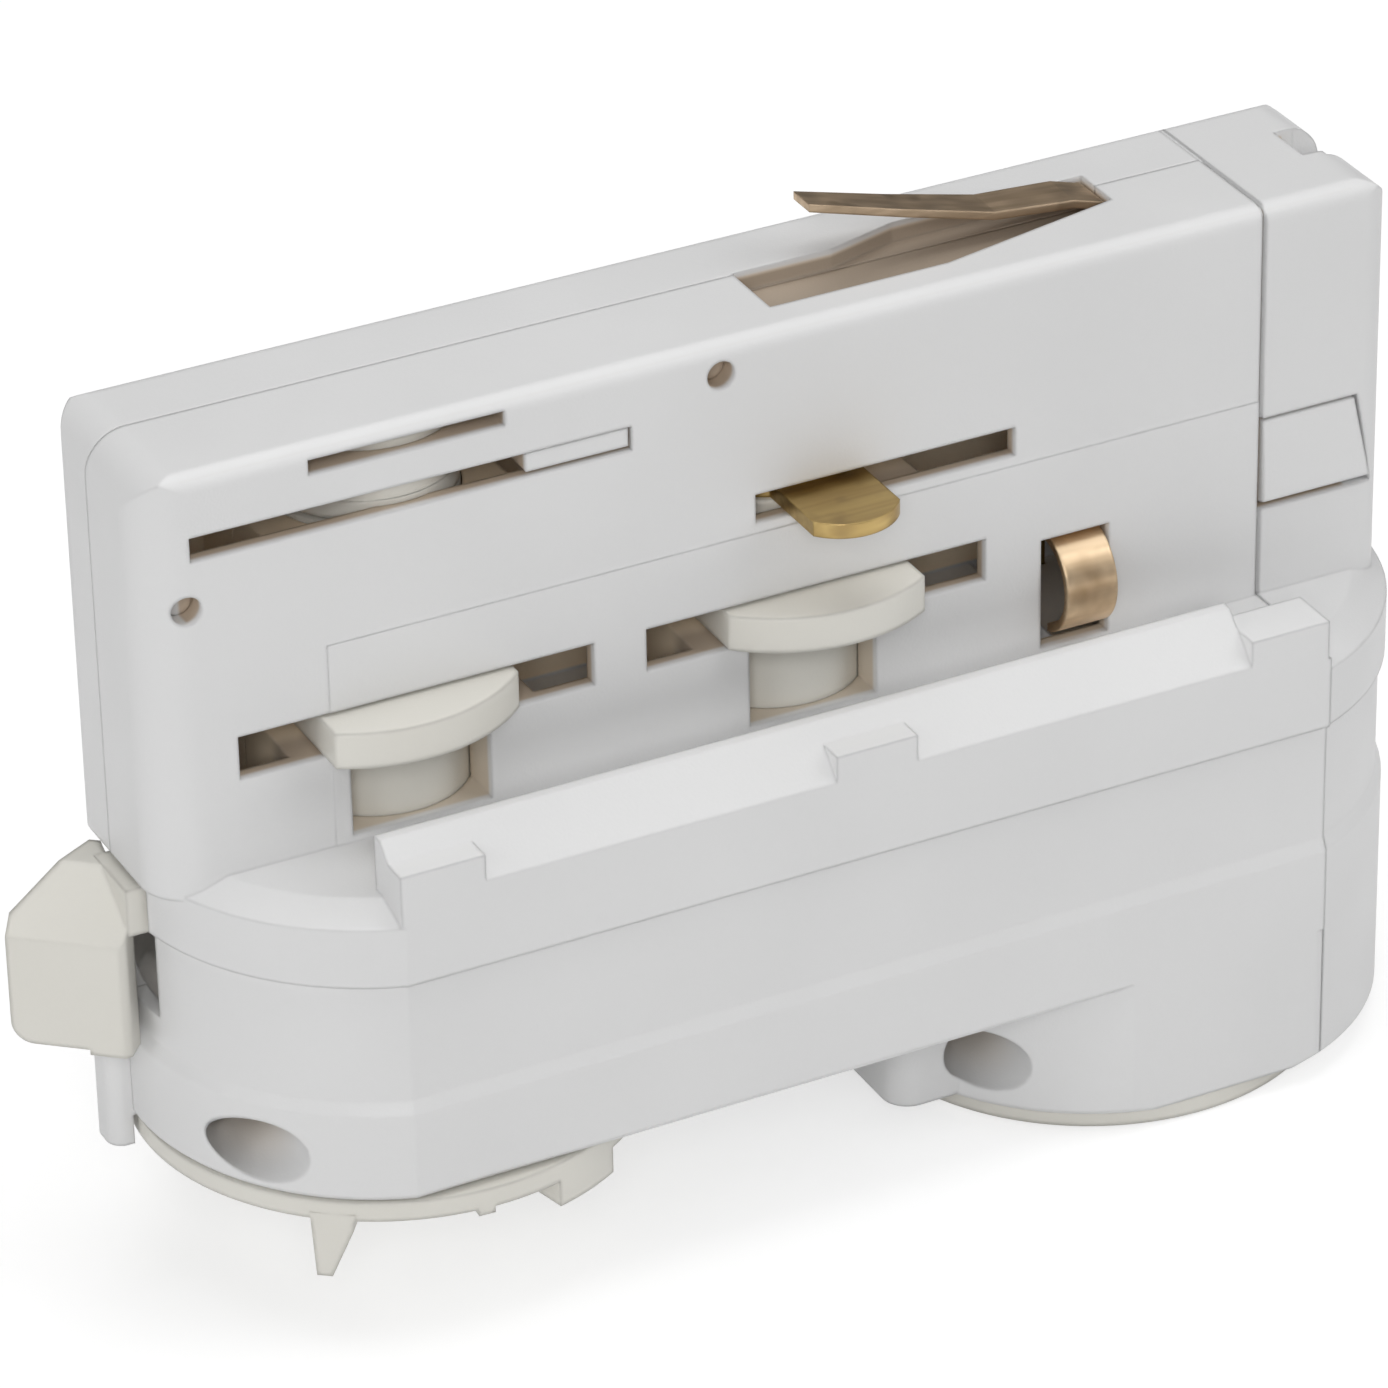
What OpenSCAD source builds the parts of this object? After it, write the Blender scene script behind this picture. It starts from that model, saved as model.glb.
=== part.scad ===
// Track light adapter: two moulded shells that hold two counter-turning locking cams.
// Millimetres, Z up, X along the track. The origin is on the track seat, mid-length and mid-width.

/* [Track neck] */
// Length of the neck that goes into the track
neck_l = 94.4; // [92:0.2:98]
// Thickness of the neck
neck_t = 15; // [14.6:0.1:16]
// Height of the neck above the track seat
neck_h = 30.3; // [28:0.1:32]
// Radius of the neck's long top edges
neck_edge_r = 1.2; // [0.6:0.1:1.6]
// Radius of the neck's upright edge at the front left
neck_front_r = 3.4; // [1:0.1:3.6]
// Radius of the neck's upright edge at the front right
end_front_r = 2; // [0.6:0.1:2.2]
// Radius of the neck's upright edges at the back
neck_back_r = 3; // [1:0.1:3.4]
// Radius of the neck's left upper end in front view
neck_top_r = 3; // [2:0.1:4]
// Radius of the neck's right upper end in front view
end_top_r = 2.8; // [1:0.1:3]
// How far the lower panel of the neck stands proud
panel_out = 0.08; // [0.06:0.02:0.4]
// Top edge of the lower panel
panel_z = 15.4; // [15:0.1:15.8]

/* [Lower body] */
// Width of the lower body
body_w = 35.6; // [35.2:0.1:37]
// Radius of the lower body's round ends
nose_r = 18.8; // [18.6:0.1:19.4]
// Underside of the lower body
body_bottom_z = -22.6; // [-24:0.1:-22.4]
// Lower edge of the top band
band_top_z = -5.5; // [-6:0.1:-5]
// Upper edge of the bottom band
band_low_z = -14.7; // [-15:0.1:-14.5]
// Depth of the band between them
band_in = 0.45; // [0.2:0.05:0.5]
// Height of the bottom band's sloped upper edge
band_slope = 1; // [0.4:0.1:1.4]
// Drop of the seat's crowned rim at the round ends
crown_h = 1; // [0.4:0.1:1.2]
// Width of the crowned rim
crown_w = 2.6; // [1:0.1:3]
// Edge break along the underside
foot_break = 0.5; // [0.2:0.1:0.8]
// Centre of the right round end
right_nose_x = 30.2; // [30:0.1:31]
// Start of the guide ribs
rib_start_x = -34.4; // [-35:0.1:-34]
// Height where the rib's sloped face begins
rib_foot_z = 1; // [0.6:0.1:1.2]
// Height and width of the rib's sloped face
rib_slope = 3.2; // [2.6:0.1:3.4]
// Width of the rib's flat top
rib_top_w = 0.8; // [0.6:0.1:1.2]
// Length of each upright tab on a rib
tab_l = 6.2; // [5:0.1:7]
// Top of the tabs
tab_z = 3; // [2.6:0.1:3.6]
// Distance between tabs
tab_pitch = 32.4; // [31:0.1:32.6]

/* [Boss] */
// Centre of the hanging boss
boss_x = 27.5; // [27:0.1:28]
// Underside of the boss
boss_bottom_z = -33.1; // [-34:0.1:-32.6]
// How far the stop lug stands out from the boss
lug_out = 2.2; // [1:0.1:2.8]
// Width of the stop lug
lug_w = 20; // [12:0.5:22]
// Radius of the stop lug's upright edges
lug_r = 2; // [0.5:0.1:2.2]
// How far the boss plate stands in from the boss
plate_in = 1.2; // [0.4:0.1:2]

/* [Shell split] */
// Plane where the shells meet
split_y = 1.2; // [1:0.1:1.6]
// Right end of the front shell
seam_x = 36.9; // [36.7:0.1:37.2]
// Width of the line between the shells along their length
split_gap = 0.04; // [0.02:0.01:0.1]
// Width of the upright line between the shells at the right
seam_gap = 0.14; // [0.1:0.02:0.2]
// Width and depth of the groove on each side of that line
seam_groove = 0.2; // [0.2:0.05:0.3]
// Wall of the neck
neck_wall = 1.2; // [1.1:0.05:1.3]
// Wall of the lower body
body_wall = 1.15; // [1:0.05:1.2]

/* [Turning parts] */
// Axis of the lever, the left cam and the selector
left_axis_x = -28; // [-28.2:0.1:-27.8]
// Radius of the cam barrels
barrel_r = 6.5; // [6.4:0.05:6.6]
// Running clearance of a shaft in its bore
run_gap = 0.1; // [0.06:0.01:0.1]
// Clearance between pieces that pass each other
free_gap = 0.3; // [0.25:0.05:0.35]
// Radius of the rounded wing ends
wing_end_r = 11.5; // [11:0.1:12]
// Sideways shift of the wing ends
wing_lead = 1; // [0.4:0.1:1.2]
// Half width of a wing
wing_half_w = 7.1; // [6.8:0.1:7.2]
// Thickness of a wing
wing_t = 2.7; // [2.4:0.1:2.9]
// Underside of the wing slots
wing_slot_z = 7.05; // [7:0.05:7.2]
// Half length of the wing slots
wing_slot_half = 13.05; // [13:0.05:13.4]
// Gear module
gear_module = 1; // [0.95:0.01:1]
// Teeth on a full wheel
gear_teeth = 30; // [28:2:30]
// Play between meshing teeth
gear_play = 0.24; // [0.16:0.02:0.3]
// Thickness of the gear sectors
gear_t = 2.8; // [2.4:0.1:3]
// Underside of the gear sectors
gear_z = -14.4; // [-14.6:0.1:-14.2]

/* [Lever and selector] */
// Underside of the lever's thumb piece
lever_bottom_z = -14.6; // [-14.7:0.1:-14]
// Length of the thumb piece along its face
thumb_l = 8.4; // [8:0.1:9.4]
// How far the thumb piece stands out from the round end
thumb_out = 8; // [7:0.1:8.4]
// Height where the thumb piece's face leans back
thumb_ridge_z = -6.3; // [-7:0.1:-5.6]
// Depth and height of the leaning face
thumb_slope = 4; // [3.6:0.1:4.6]
// Top of the lever's arm
lever_top_z = -2.2; // [-2.4:0.1:-2]
// Underside of the lever's arm
arm_bottom_z = -5.8; // [-7:0.1:-5.4]
// Half width of the lever's arm
arm_half_w = 2.7; // [2.4:0.1:3.4]
// Underside of the lever's hub
hub_bottom_z = -10.4; // [-10.8:0.1:-10]
// Underside of the slot that the arm swings in
slot_bottom_z = -12.4; // [-12.8:0.1:-11]
// Radius of the lever's hub
hub_r = 10.6; // [10:0.1:11]
// How far the selector disc stands in from the round end
disc_in = 0.4; // [0.3:0.1:0.8]
// Thickness of the selector disc and of the boss plate
disc_t = 1.5; // [1.2:0.1:1.8]
// Height of the selector's pointer fin
fin_h = 4.6; // [3:0.1:5]
// Height of the selector's side lug
stop_h = 2; // [1:0.1:2.4]
// Radius of the selector hub
knob_hub_r = 7.8; // [7:0.1:8]
// Radius of the selector spindle
spindle_r = 2.6; // [2.4:0.1:2.7]

/* [Contacts and springs] */
// Thickness of the turning contacts
contact_t = 1.1; // [0.9:0.1:1.2]
// Width of the turning contacts
contact_w = 6.6; // [6:0.1:7]
// Reach of the neutral contact from its axis
neutral_reach = 13.5; // [13:0.1:13.8]
// Sideways shift of the neutral contact's tongue
neutral_shift = 0.8; // [0:0.1:1]
// Reach of the phase contact from its axis
phase_reach = 13.5; // [13:0.1:13.8]
// Thickness of the top spring
top_spring_t = 0.6; // [0.4:0.1:0.7]
// Width of the top spring at its root
top_spring_w = 3.4; // [3:0.1:3.6]
// Width of the top spring at its tip
top_tip_w = 2.3; // [2:0.1:3]
// Height of the top spring's tip above the neck
top_rise = 4.7; // [4:0.1:5]
// Thickness of the side spring
side_spring_t = 0.6; // [0.5:0.05:0.7]
// Width of the side spring
side_spring_w = 3.9; // [3.4:0.1:4.2]
// How far the side spring bows out of its window
bow_out = 1.9; // [1.2:0.1:2]
// Thickness of the inner leads
lead_t = 0.5; // [0.4:0.1:0.6]

/* [Fasteners] */
// Radius of the bolt clearance wells in the shells
well_r = 2.4; // [2.2:0.1:2.5]
// Shank radius of the shell screws
screw_r = 1.3; // [1.1:0.1:1.4]
// Head radius of the shell screws
screw_head_r = 2.1; // [1.9:0.1:2.15]
// Outer radius of the screw posts
post_r = 3.2; // [3:0.1:3.4]
// Minor radius of the M10 x 1 thread in the nut
nut_bore_r = 4.5; // [4.4:0.05:4.6]
// Width of the nut across its flats
nut_flats = 17; // [16:0.5:18]
// Height of the nut
nut_h = 6; // [5:0.5:7]

/* [Hidden] */
$fn = 96;
axis_pitch = gear_module * gear_teeth;
right_axis_x = left_axis_x + axis_pitch;
half_t = neck_t / 2;
half_w = body_w / 2;
flat_start_x = left_axis_x - sqrt(nose_r * nose_r - half_w * half_w) + 0.3;
neck_x0 = -neck_l / 2;
neck_x1 = neck_l / 2;
disc_r = nose_r - disc_in;
inner_y = half_t - neck_wall;
rib_y = half_w - rib_slope;
rib_end_x = rib_start_x + 2 * tab_pitch;
rib_top_z = rib_foot_z + rib_slope;
neck_reach = half_t + 1;
far = 200;
eps = 0.02;
// Upright openings in the neck: start and end along X, then bottom and top
top_window = [left_axis_x - 7.1, left_axis_x + 7.1, neck_h - 2, neck_h - 0.9];
phase_slot = [left_axis_x - 15.7, left_axis_x + 16.3, neck_h - 6.2, neck_h - 4.4];
neutral_slot = [right_axis_x - 4.6, right_axis_x + 15.4, neck_h - 14.15, neck_h - 11.95];
wing_slot_top_z = wing_slot_z + 3.25;
left_wing_slot = [left_axis_x - wing_slot_half, left_axis_x + wing_slot_half, wing_slot_z, wing_slot_top_z];
right_wing_slot = [right_axis_x - wing_slot_half, right_axis_x + wing_slot_half,
    wing_slot_z, wing_slot_top_z];
left_window = [left_axis_x - 5.15, left_axis_x + 5.15, 0.5, wing_slot_z + 1];
right_window = [right_axis_x - 5.3, right_axis_x + 4.5, 0.5, wing_slot_z + 1];
spring_window = [19.4, 24.8, 0.4, 9];
guard_x0 = left_axis_x + 8.5;
guard_x1 = phase_slot[1] - 0.25;
wing_z = wing_slot_z + free_gap;
bore_r = barrel_r + run_gap;
barrel_bottom_z = gear_z;
shoulder_z = lever_top_z + free_gap;
left_barrel_top_z = phase_slot[2] - 1.3;
neutral_z = (neutral_slot[2] + neutral_slot[3] - contact_t) / 2;
phase_z = (phase_slot[2] + phase_slot[3] - contact_t) / 2;
carrier_top_z = neck_h - 1.3;
cap_top_z = neutral_slot[3] + 2.65;
bearing_half = 9;
phase_lead_z = phase_slot[2] - 1.5;
phase_lead_h = 0.8;
spigot_r = 3;
cavity_top_z = neck_h - 3.9;
pocket_z = neck_h - 1.5;
pocket_x1 = 28.4;
pocket_x0 = 0.4;
pocket_step_x = 13.5;
knuckle_r = 0.6;
knuckle_x = pocket_x1 - knuckle_r - 0.1;
knuckle_z = pocket_z + knuckle_r + 0.1;
top_spring_y = 0.9;
top_tip_x = 5.5;
deck_t = 1.3;
floor_top_z = body_bottom_z + body_wall;
knob_gap = 0.2;
clip_z = floor_top_z + 0.1;
clip_t = 0.8;
spindle_z = body_bottom_z - knob_gap - disc_t + 2;
peg_r = 1;
peg_boss_r = 2.4;
peg_in = 1.6;
end_wall = 1.8;
peg_points = [[neck_x0 + 3.1, neck_h - 9.7], [-5, neck_h - 2.3]];
screw_left_x = left_axis_x - nose_r + 4.1;
screw_left_z = -19.3;
screw_right_x = boss_x - nose_r + 4.1;
screw_right_z = -29.2;
screw_seat_y = -2;
screw_head_h = 1.8;
screw_play = 0.03;
screw_end_y = 8;
tooth = [seam_x + 0.2, neck_x1 - 1.4, 7, 13.7];
tooth_lean = 1.3;
tooth_gap = 0.25;
notch_half = 2.2;
notch_in = 2.2;
pitch_r = axis_pitch / 2;
base_r = pitch_r * cos(20);
tip_r = pitch_r + 0.82 * gear_module;
root_r = pitch_r - 1.15 * gear_module;
flank_steps = 5;
half_tooth = 90 / gear_teeth - gear_play / pitch_r * 45 / PI;
flank_turn = atan2(involute(roll_at(pitch_r))[1], involute(roll_at(pitch_r))[0]) + half_tooth;
flank = [for (i = [0:flank_steps]) turn(involute(roll_at(tip_r) * i / flank_steps), -flank_turn)];
step_r = 5;
detent_half = 5;
spring_root_z = 10.5;
bow_z = 4.75;
knob_recess_r = 4;
thumb_y = 2.1;
thumb_turn = 40.2;
thumb_lip = 0.4;
thumb_deep = 7;
pillar_gap = 0.8;
pillar_out = 1.6;
pillar_w = 3.4;
pillar_foot = 2.3;
pillar_r = 1.2;
sweep = 90;
sector_lead = 18;
block_x0 = 21;
block_l = 12;
block_w = 26;
block_z = -deck_t - 9.6;
cell_pitch = 8;
clamp_lift = 3.1;
clamp_w = 5;
clamp_h = 4.2;
clamp_top_z = block_z + clamp_lift + clamp_h;
term_screw_r = 1.15;
lead_x = 25.6;
lead_w = 1.6;
nut_z = boss_bottom_z + body_wall;
stem_r = nut_bore_r + 0.7;
white = [0.93, 0.93, 0.93];
ivory = [0.9, 0.89, 0.83];
brass = [0.72, 0.56, 0.25];
bronze = [0.4, 0.31, 0.21];
steel = [0.7, 0.71, 0.73];

// A square corner minus its round, to be taken off a rectangle
module corner(x, y, r, a) {
    translate([x, y]) rotate(a) difference() {
        translate([-1, -1]) square(r + 1);
        translate([r, r]) circle(r);
    }
}

// A rectangle from two corners, with a radius at each upper and lower corner
module rounded(x0, y0, x1, y1, radii) {
    difference() {
        translate([x0, y0]) square([x1 - x0, y1 - y0]);
        if (radii[0] > 0) corner(x0, y0, radii[0], 0);
        if (radii[1] > 0) corner(x1, y0, radii[1], 90);
        if (radii[2] > 0) corner(x1, y1, radii[2], 180);
        if (radii[3] > 0) corner(x0, y1, radii[3], 270);
    }
}

// A block from its two far corners
module block(a, b) {
    translate(a) cube(b - a);
}

// A straight opening through the neck between two depths
module opening(o, y0, y1) {
    block([o[0], y0, o[2]], [o[1], y1, o[3]]);
}

// A cylinder along Y between two depths
module rod_y(x, z, r, y0, y1) {
    translate([x, y0, z]) rotate([-90, 0, 0]) cylinder(r = r, h = y1 - y0);
}

// A profile in Y and Z drawn out along X
module along_x(x0, x1) {
    translate([x0, 0, 0]) rotate([90, 0, 90]) linear_extrude(x1 - x0) children();
}

// A profile in X and Z drawn out along Y
module along_y(y0, y1) {
    translate([0, y1, 0]) rotate([90, 0, 0]) linear_extrude(y1 - y0) children();
}

module neck_solid() {
    intersection() {
        translate([0, 0, -deck_t]) linear_extrude(neck_h + deck_t)
            rounded(neck_x0, -half_t, neck_x1, half_t, [neck_front_r, end_front_r, neck_back_r, neck_back_r]);
        along_y(-neck_t, neck_t)
            rounded(neck_x0, -deck_t - 1, neck_x1, neck_h, [0, 0, end_top_r, neck_top_r]);
        along_x(neck_x0 - 1, neck_x1 + 1)
            rounded(-half_t, -deck_t - 1, half_t, neck_h, [0, 0, neck_edge_r, neck_edge_r]);
    }
    block([rib_start_x, -half_t - panel_out, -1], [seam_x, half_t + panel_out, panel_z]);
}

// Half of the lower body's outline, as distance from the middle against height
function band_half(r) = [[r - foot_break, body_bottom_z], [r, body_bottom_z + foot_break],
    [r, band_low_z - band_slope], [r - band_in, band_low_z], [r - band_in, band_top_z], [r, band_top_z]];

module nose(x) {
    translate([x, 0, 0]) rotate_extrude()
        polygon(concat([[0, body_bottom_z]], band_half(nose_r),
            [[nose_r, -crown_h], [nose_r - crown_w, 0], [0, 0]]));
}

module body_solid() {
    side = concat(band_half(half_w), [[half_w, 0]]);
    n = len(side);
    other = [for (i = [n - 1:-1:0]) [-side[i][0], side[i][1]]];
    intersection() {
        along_x(neck_x0 - 10, neck_x1 + 10) polygon(concat(side, other));
        union() {
            nose(left_axis_x);
            nose(right_nose_x);
            block([flat_start_x, -half_w - 1, body_bottom_z - 1], [seam_x, half_w + 1, 1]);
        }
    }
}

module boss_nose(x) {
    translate([x, 0, 0]) rotate_extrude()
        polygon([[0, boss_bottom_z], [nose_r - foot_break, boss_bottom_z],
            [nose_r, boss_bottom_z + foot_break], [nose_r, body_bottom_z + 1], [0, body_bottom_z + 1]]);
}

module boss_solid() {
    intersection() {
        block([-far, -half_w, boss_bottom_z], [far, half_w, body_bottom_z + 1]);
        union() {
            boss_nose(boss_x);
            boss_nose(right_nose_x);
        }
    }
    lug_z = boss_bottom_z + foot_break;
    translate([0, 0, lug_z]) linear_extrude(body_bottom_z + 1 - lug_z)
        rounded(boss_x - nose_r - lug_out, -lug_w / 2, boss_x, lug_w / 2, [lug_r, 0, 0, lug_r]);
}

// The rounded pillar on the left end below the thumb piece, its foot beside the selector disc
module pillar() {
    x0 = left_axis_x - nose_r - pillar_out;
    z0 = body_bottom_z - pillar_foot;
    difference() {
        translate([0, 0, z0]) linear_extrude(lever_bottom_z - pillar_gap - z0)
            rounded(x0, split_y, x0 + 4, split_y + pillar_w, [pillar_r, 0, 0, pillar_r]);
        translate([left_axis_x, 0, body_bottom_z - far]) cylinder(r = nose_r, h = far);
    }
}

module rib(side) {
    mirror([0, side, 0]) {
        along_x(rib_start_x, rib_end_x)
            polygon([[-half_w, -1], [-half_w, rib_foot_z], [-rib_y, rib_top_z],
                [-rib_y + rib_top_w, rib_top_z], [-rib_y + rib_top_w, -1]]);
        for (i = [0:1])
            translate([rib_start_x + i * tab_pitch, -half_w, 0]) cube([tab_l, rib_slope, tab_z]);
        translate([rib_end_x, -half_w, -1]) cube([tab_l, rib_slope + rib_top_w, tab_z + 1]);
    }
}

module outer_solid() {
    neck_solid();
    body_solid();
    boss_solid();
    pillar();
    rib(0);
    rib(1);
}

// A block across the neck round a turning axis, between two heights
module bearing(x, z0, z1) {
    block([x - bearing_half, -neck_t, z0], [x + bearing_half, neck_t, z1]);
}

// Blocks inside the neck that carry the turning parts
module bearings() {
    bearing(left_axis_x, -deck_t, wing_slot_z);
    bearing(left_axis_x, wing_slot_top_z, left_barrel_top_z - 0.4);
    bearing(right_axis_x, -deck_t, wing_slot_z);
    bearing(right_axis_x, wing_slot_top_z, neutral_slot[2] - 0.55);
    bearing(right_axis_x, neutral_slot[3] + 0.45, cap_top_z - 0.4);
}

module posts() {
    rod_y(screw_left_x, screw_left_z, post_r, -half_w, half_w);
    rod_y(screw_right_x, screw_right_z, post_r, -half_w, half_w);
    translate([right_axis_x, 0, body_bottom_z]) cylinder(r = step_r, h = gear_z - run_gap - body_bottom_z);
}

// Hollow inside of the lower body
module body_hollow() {
    r = nose_r - band_in - body_wall;
    y = half_w - band_in - body_wall;
    difference() {
        intersection() {
            block([-far, -y, floor_top_z], [far, y, -deck_t]);
            union() {
                translate([left_axis_x, 0, floor_top_z]) cylinder(r = r, h = far);
                translate([right_nose_x, 0, floor_top_z]) cylinder(r = r, h = far);
                block([left_axis_x, -far, -far], [right_nose_x, far, far]);
            }
        }
        posts();
    }
    difference() {
        translate([boss_x, 0, nut_z]) cylinder(r = nose_r - body_wall - 2, h = floor_top_z - nut_z + 1);
        posts();
        translate([boss_x, 0, nut_z]) nut_seat();
    }
}

module nut_seat() {
    difference() {
        cylinder(r = nut_flats / 2 + 3, h = nut_h - 1);
        cylinder(r = (nut_flats + 0.2) / sqrt(3), h = nut_h, $fn = 6);
    }
}

module neck_hollow() {
    difference() {
        block([neck_x0 + end_wall, -inner_y, 0], [neck_x1 - end_wall, inner_y, cavity_top_z]);
        bearings();
        for (p = peg_points)
            rod_y(p[0], p[1], peg_boss_r, -half_t, half_t);
    }
    block([block_x0 + 0.4, -inner_y, -deck_t - 1], [block_x0 + 9, inner_y, 1]);
    block([left_axis_x, inner_y - 1, phase_lead_z - 0.1],
        [lead_x, inner_y, phase_lead_z + phase_lead_h + 0.1]);
}

// Pocket under the top spring, wider behind where the leaf can sink in
module spring_pocket() {
    rear = top_spring_y + top_spring_w / 2 + 0.4;
    translate([0, 0, pocket_z]) linear_extrude(far)
        polygon([[pocket_x0, -4.2], [14, -4.2], [pocket_x1, -1.2], [pocket_x1, rear], [pocket_step_x, rear],
            [pocket_step_x - 5.5, 1.4], [pocket_x0, 1.4]]);
}

module side_openings() {
    opening(top_window, -neck_reach, neck_reach);
    opening(phase_slot, -neck_reach, neck_reach);
    opening(neutral_slot, -neck_reach, inner_y);
    opening(left_wing_slot, -neck_reach, neck_reach);
    opening(right_wing_slot, -neck_reach, neck_reach);
    opening(left_window, -neck_reach, 0);
    opening(right_window, -neck_reach, 0);
    opening(spring_window, -neck_reach, -inner_y + 0.6);
}

module turning_bores() {
    translate([left_axis_x, 0, -deck_t - 1]) cylinder(r = bore_r, h = carrier_top_z + free_gap + deck_t + 1);
    translate([right_axis_x, 0, -deck_t - 1]) cylinder(r = bore_r, h = cap_top_z + free_gap + deck_t + 1);
    translate([left_axis_x, 0, body_bottom_z - 1]) cylinder(r = knob_hub_r + run_gap, h = body_wall + 2);
}

// Curved slot in the left end that the lever's arm swings through
module lever_slot() {
    lead = asin((arm_half_w + free_gap) / (nose_r - body_wall));
    translate([left_axis_x, 0, slot_bottom_z]) rotate(sweep - lead) rotate_extrude(angle = sweep + 2 * lead)
        translate([hub_r, 0]) square([nose_r, lever_top_z + free_gap - slot_bottom_z]);
}

module screw_wells() {
    rod_y(screw_left_x, screw_left_z, well_r, -far, screw_seat_y);
    rod_y(screw_left_x, screw_left_z, screw_r + screw_play, screw_seat_y - 1, screw_end_y + 1);
    rod_y(screw_right_x, screw_right_z, well_r, -far, screw_seat_y);
    rod_y(screw_right_x, screw_right_z, screw_r + screw_play, screw_seat_y - 1, screw_end_y + 1);
}

// Outline of the snap tooth in front view, grown by a clearance
module tooth_outline(x0, g) {
    polygon([[x0, tooth[2] - g], [tooth[1] + g, tooth[2] - g], [tooth[1] - tooth_lean + g, tooth[3] + g],
        [x0, tooth[3] + g]]);
}

// Recesses at the right end: the notch on top, its sloped way in and the window of the snap tooth
module end_recesses() {
    x = neck_x1 - notch_in;
    block([x, -notch_half, neck_h - 4.8], [far, notch_half + 0.3, far]);
    along_y(-notch_half + 0.6, notch_half + 0.2)
        polygon([[x - 1.6, neck_h + eps], [x + eps, neck_h - 2.4], [x + eps, neck_h + eps]]);
    along_y(-neck_reach, -half_t + 3.2) tooth_outline(seam_x - seam_gap, tooth_gap);
}

// The groove along the upright seam on the neck's front and top
module seam_line() {
    x0 = seam_x - seam_groove;
    x1 = seam_x + seam_groove;
    block([x0, -neck_reach, 0], [x1, -half_t + seam_groove, far]);
    block([x0, -neck_reach, neck_h - seam_groove], [x1, neck_reach, far]);
}

module housing() {
    difference() {
        outer_solid();
        neck_hollow();
        body_hollow();
        spring_pocket();
        side_openings();
        turning_bores();
        lever_slot();
        screw_wells();
        end_recesses();
        seam_line();
        translate([boss_x, 0, boss_bottom_z - 1]) cylinder(r = stem_r, h = nut_h + 6);
    }
}

// Everything on the front shell's side of the seams, with half a seam's width taken off or added
module front_zone(side) {
    block([-far, -far, -far], [seam_x - side * seam_gap / 2, split_y - side * split_gap / 2, far]);
}

module front_shell() {
    color(white) {
        difference() {
            intersection() {
                housing();
                front_zone(1);
            }
            for (p = peg_points)
                rod_y(p[0], p[1], peg_r + 0.04, -far, far);
        }
        snap_arm();
    }
}

// The front shell's snap arm reaches into the window of the end block
module snap_arm() {
    z0 = tooth[2];
    z1 = tooth[3];
    y = -half_t;
    intersection() {
        along_y(-neck_reach, half_t) tooth_outline(seam_x - 3, 0);
        union() {
            block([seam_x - 3, -inner_y - 0.4, z0], [neck_x1, -inner_y + 1.6, z1]);
            along_x(tooth[0], neck_x1)
                polygon([[y + 1.5, z0], [y + 1, z0], [y - 0.35, z0 + 0.5], [y, z1], [y + 1.5, z1]]);
        }
    }
}

module rear_shell() {
    color(white) {
        difference() {
            housing();
            front_zone(-1);
        }
        for (p = peg_points)
            rod_y(p[0], p[1], peg_r, -half_t + peg_in, inner_y);
        post_pad(screw_left_x, screw_left_z);
        post_pad(screw_right_x, screw_right_z);
        slot_guard();
    }
}

// The ring on a rear screw post that the front post is drawn against
module post_pad(x, z) {
    difference() {
        rod_y(x, z, post_r - 0.4, split_y - split_gap / 2, split_y + split_gap);
        rod_y(x, z, screw_r + screw_play, 0, 4);
    }
}

// The tongue that closes the right part of the phase slot
module slot_guard() {
    block([guard_x0, -half_t + 0.1, phase_slot[2] + 0.35], [guard_x1, half_t, phase_slot[3] - 0.1]);
    block([guard_x0, split_y + seam_gap, phase_slot[2] - 0.5],
        [guard_x1 + 0.5, half_t - 0.5, phase_slot[3] + 0.5]);
}

// Involute of the base circle at a roll angle
function involute(a) = let (k = a * PI / 180)
    [base_r * (cos(a) + k * sin(a)), base_r * (sin(a) - k * cos(a))];
function roll_at(r) = sqrt(pow(r / base_r, 2) - 1) * 180 / PI;
function turn(p, a) = [p[0] * cos(a) - p[1] * sin(a), p[0] * sin(a) + p[1] * cos(a)];

// Outline of one tooth about the given angle, from root to root
function tooth_points(a) = concat([turn([root_r, 0], a - flank_turn)],
    [for (p = flank) turn(p, a)],
    [for (i = [flank_steps:-1:0]) turn([flank[i][0], -flank[i][1]], a)],
    [turn([root_r, 0], a + flank_turn)]);

// A toothed sector as one pie-shaped plate, with a tooth at the given phase
module gear_sector(a0, a1, phase) {
    step = 360 / gear_teeth;
    first = ceil((a0 - phase) / step);
    last = floor((a1 - phase) / step);
    translate([0, 0, gear_z]) linear_extrude(gear_t)
        polygon(concat([[0, 0]], [for (i = [first:last]) each tooth_points(phase + i * step)]));
}

// A wing with two ends, its tips led to one side
module wing(lead) {
    translate([0, 0, wing_z]) linear_extrude(wing_t)
        for (a = [0, 180])
            rotate(a) intersection() {
                translate([-wing_half_w, -far]) square([2 * wing_half_w, far]);
                translate([lead, 0]) circle(wing_end_r);
            }
}

// Drive flats shared by the left barrel and the lever's hub
module drive_section(gap) {
    intersection() {
        circle(barrel_r + gap);
        square(2 * barrel_r - 2 + 2 * gap, center = true);
    }
}

module left_cam() {
    color(ivory) translate([left_axis_x, 0, 0]) {
        difference() {
            union() {
                translate([0, 0, shoulder_z]) cylinder(r = barrel_r, h = left_barrel_top_z - shoulder_z);
                translate([0, 0, hub_bottom_z]) linear_extrude(shoulder_z - hub_bottom_z) drive_section(0);
                translate([0, 0, barrel_bottom_z]) cylinder(r = barrel_r, h = hub_bottom_z - barrel_bottom_z);
                wing(-wing_lead);
                gear_sector(-sector_lead, sweep + sector_lead, 0);
            }
            translate([0, 0, gear_z - 1]) cylinder(r = spindle_r + free_gap, h = far);
        }
    }
}

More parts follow.
